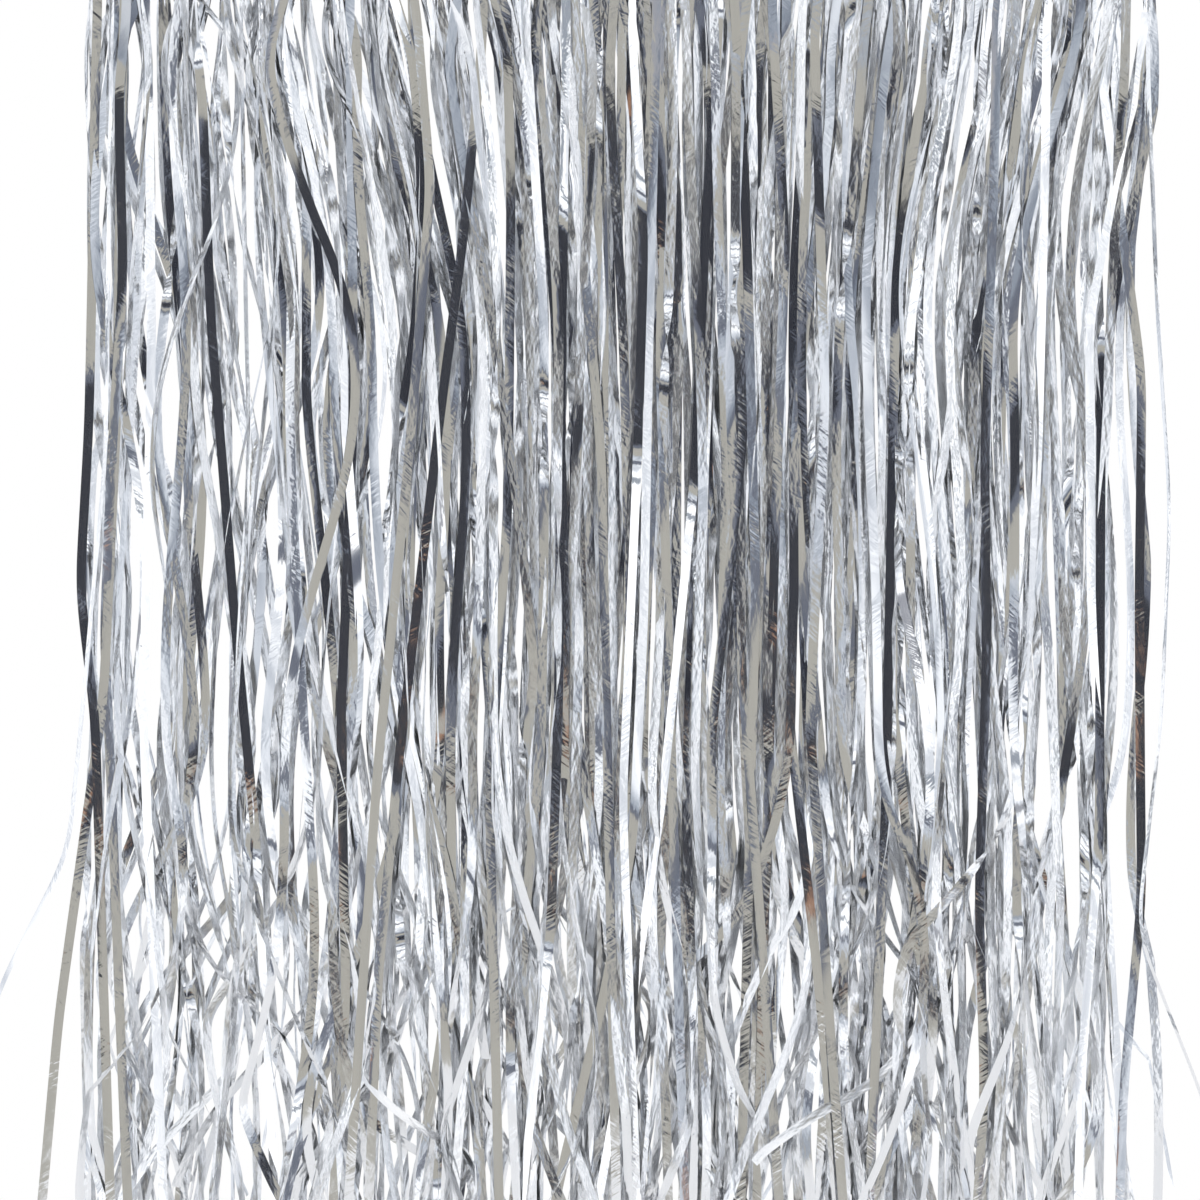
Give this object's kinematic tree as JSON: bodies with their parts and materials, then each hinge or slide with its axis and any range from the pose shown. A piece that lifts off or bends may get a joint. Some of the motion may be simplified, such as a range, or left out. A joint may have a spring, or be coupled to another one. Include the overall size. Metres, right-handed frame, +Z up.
{
  "type": "foil lametta fringe",
  "caption": "Hanging curtain of narrow silver foil strips cut from metallised film, its uncut bands stapled into a folded header card with a slot for a peg.",
  "frame": {"origin": "where the peg bears: the middle of the upper edge of the header card's slot, halfway through the card", "axes": "+Z up, X across the width of the fringe, -Y towards the front"},
  "size_m": [0.4716, 0.0116, 0.55],
  "materials": {
    "card": "uncoated white board, folded, with soft cut edges",
    "film": "silver metallised plastic film, mirror bright with fine crinkles",
    "wire": "zinc-coated staple wire"
  },
  "bodies": {
    "header": {"header_card": "card", "film_band_1": "film", "film_band_2": "film", "film_band_3": "film", "staple_1": "wire", "staple_2": "wire", "staple_3": "wire", "staple_4": "wire", "staple_5": "wire"},
    "lock_01": {"fringe_lock_01": "film"},
    "lock_02": {"fringe_lock_02": "film"},
    "lock_03": {"fringe_lock_03": "film"},
    "lock_04": {"fringe_lock_04": "film"},
    "lock_05": {"fringe_lock_05": "film"},
    "lock_06": {"fringe_lock_06": "film"},
    "lock_07": {"fringe_lock_07": "film"},
    "lock_08": {"fringe_lock_08": "film"},
    "lock_09": {"fringe_lock_09": "film"},
    "lock_10": {"fringe_lock_10": "film"},
    "lock_11": {"fringe_lock_11": "film"},
    "lock_12": {"fringe_lock_12": "film"},
    "lock_13": {"fringe_lock_13": "film"},
    "lock_14": {"fringe_lock_14": "film"},
    "lock_15": {"fringe_lock_15": "film"},
    "lock_16": {"fringe_lock_16": "film"}
  },
  "joints": [
    {"name": "lock_01_swing", "type": "hinge", "parent": "header", "child": "lock_01", "pos_m": [-0.1875, 0, -0.038], "axis": [1, 0, 0], "range_deg": [-70, 70]},
    {"name": "lock_02_swing", "type": "hinge", "parent": "header", "child": "lock_02", "pos_m": [-0.1625, 0, -0.038], "axis": [1, 0, 0], "range_deg": [-70, 70]},
    {"name": "lock_03_swing", "type": "hinge", "parent": "header", "child": "lock_03", "pos_m": [-0.1375, 0, -0.038], "axis": [1, 0, 0], "range_deg": [-70, 70]},
    {"name": "lock_04_swing", "type": "hinge", "parent": "header", "child": "lock_04", "pos_m": [-0.1125, 0, -0.038], "axis": [1, 0, 0], "range_deg": [-70, 70]},
    {"name": "lock_05_swing", "type": "hinge", "parent": "header", "child": "lock_05", "pos_m": [-0.0875, 0, -0.038], "axis": [1, 0, 0], "range_deg": [-70, 70]},
    {"name": "lock_06_swing", "type": "hinge", "parent": "header", "child": "lock_06", "pos_m": [-0.0625, 0, -0.038], "axis": [1, 0, 0], "range_deg": [-70, 70]},
    {"name": "lock_07_swing", "type": "hinge", "parent": "header", "child": "lock_07", "pos_m": [-0.0375, 0, -0.038], "axis": [1, 0, 0], "range_deg": [-70, 70]},
    {"name": "lock_08_swing", "type": "hinge", "parent": "header", "child": "lock_08", "pos_m": [-0.0125, 0, -0.038], "axis": [1, 0, 0], "range_deg": [-70, 70]},
    {"name": "lock_09_swing", "type": "hinge", "parent": "header", "child": "lock_09", "pos_m": [0.0125, 0, -0.038], "axis": [1, 0, 0], "range_deg": [-70, 70]},
    {"name": "lock_10_swing", "type": "hinge", "parent": "header", "child": "lock_10", "pos_m": [0.0375, 0, -0.038], "axis": [1, 0, 0], "range_deg": [-70, 70]},
    {"name": "lock_11_swing", "type": "hinge", "parent": "header", "child": "lock_11", "pos_m": [0.0625, 0, -0.038], "axis": [1, 0, 0], "range_deg": [-70, 70]},
    {"name": "lock_12_swing", "type": "hinge", "parent": "header", "child": "lock_12", "pos_m": [0.0875, 0, -0.038], "axis": [1, 0, 0], "range_deg": [-70, 70]},
    {"name": "lock_13_swing", "type": "hinge", "parent": "header", "child": "lock_13", "pos_m": [0.1125, 0, -0.038], "axis": [1, 0, 0], "range_deg": [-70, 70]},
    {"name": "lock_14_swing", "type": "hinge", "parent": "header", "child": "lock_14", "pos_m": [0.1375, 0, -0.038], "axis": [1, 0, 0], "range_deg": [-70, 70]},
    {"name": "lock_15_swing", "type": "hinge", "parent": "header", "child": "lock_15", "pos_m": [0.1625, 0, -0.038], "axis": [1, 0, 0], "range_deg": [-70, 70]},
    {"name": "lock_16_swing", "type": "hinge", "parent": "header", "child": "lock_16", "pos_m": [0.1875, 0, -0.038], "axis": [1, 0, 0], "range_deg": [-70, 70]}
  ]
}
